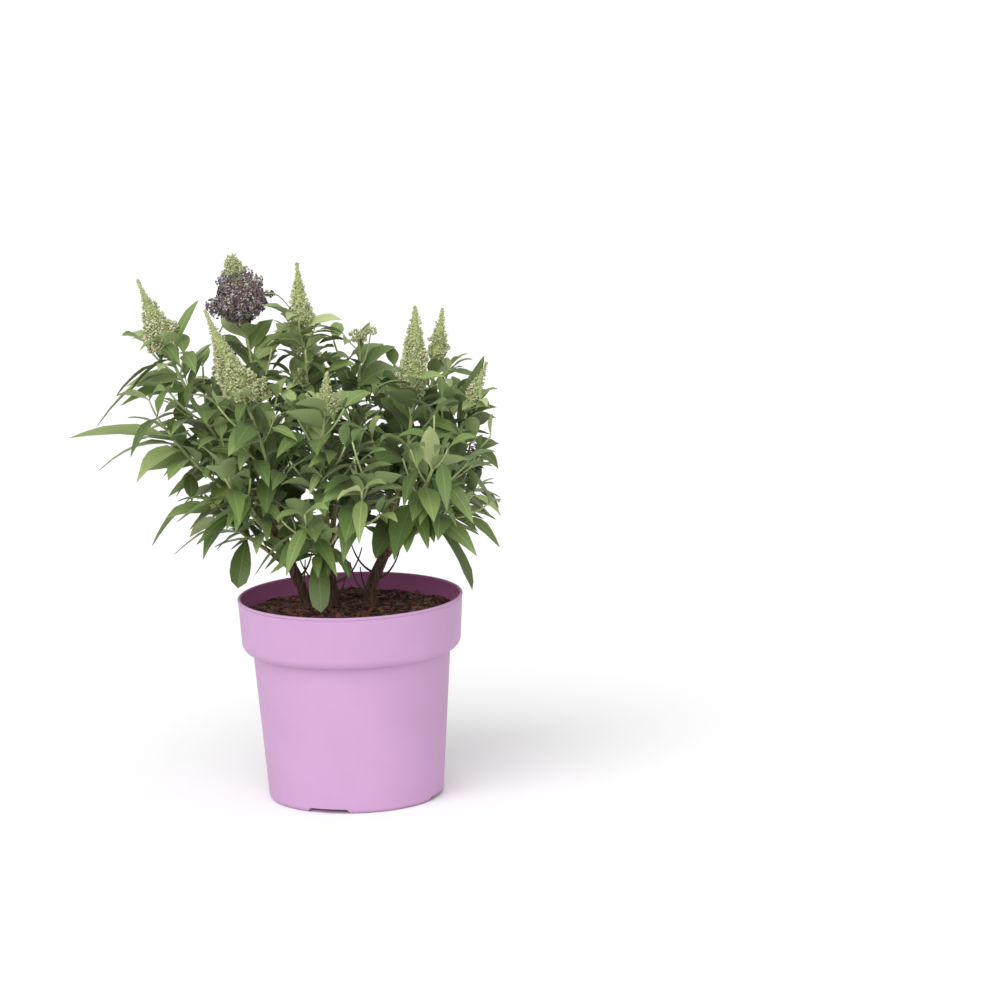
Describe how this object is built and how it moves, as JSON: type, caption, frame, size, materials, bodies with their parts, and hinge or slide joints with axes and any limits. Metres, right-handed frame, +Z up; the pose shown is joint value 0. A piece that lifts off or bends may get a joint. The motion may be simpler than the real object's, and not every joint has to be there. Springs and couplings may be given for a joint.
{
  "type": "potted butterfly bush",
  "caption": "Butterfly bush in a round plastic nursery pot: woody stems fork into leafy shoots with opposite lance-shaped leaves and upright flower spikes in bud, one in purple bloom.",
  "frame": {"origin": "middle of the pot's flat underside", "axes": "+Z up, -Y is the front, +X to the right seen from the front"},
  "size_m": [0.3573, 0.2581, 0.4602],
  "materials": {
    "pot_plastic": "satin",
    "potting_soil": "matte",
    "bark": "matte",
    "green_stem": "matte",
    "foliage": "matte"
  },
  "bodies": {
    "root": {"bough_back_left_spike": "green_stem", "bough_back_low": "green_stem", "bough_back_low_left": "green_stem", "bough_back_middle_spike": "green_stem", "bough_back_right": "green_stem", "bough_back_right_spike": "green_stem", "bough_dried_bloom": "green_stem", "bough_edge_spike": "green_stem", "bough_far_back_left": "green_stem", "bough_far_left": "green_stem", "bough_front_low": "green_stem", "bough_front_middle": "green_stem", "bough_front_small_spike": "green_stem", "bough_front_spike": "green_stem", "bough_left_spike": "green_stem", "bough_low_left": "green_stem", "bough_low_left_front": "green_stem", "bough_low_right": "green_stem", "bough_middle_spike": "green_stem", "bough_middle_top": "green_stem", "bough_purple_bloom": "green_stem", "bough_right_back_spike": "green_stem", "bough_right_front": "green_stem", "bough_right_spike": "green_stem", "leaves_back_left_spike": "foliage", "leaves_back_low": "foliage", "leaves_back_low_left": "foliage", "leaves_back_middle_spike": "foliage", "leaves_back_right": "foliage", "leaves_back_right_spike": "foliage", "leaves_dried_bloom": "foliage", "leaves_edge_spike": "foliage", "leaves_far_back_left": "foliage", "leaves_far_left": "foliage", "leaves_front_low": "foliage", "leaves_front_middle": "foliage", "leaves_front_small_spike": "foliage", "leaves_front_spike": "foliage", "leaves_left_spike": "foliage", "leaves_low_left": "foliage", "leaves_low_left_front": "foliage", "leaves_low_right": "foliage", "leaves_middle_spike": "foliage", "leaves_middle_top": "foliage", "leaves_purple_bloom": "foliage", "leaves_right_back_spike": "foliage", "leaves_right_front": "foliage", "leaves_right_spike": "foliage", "pot": "pot_plastic", "soil": "potting_soil", "woody_stem_left": "bark", "woody_stem_middle": "bark", "woody_stem_right": "bark"}
  },
  "joints": []
}
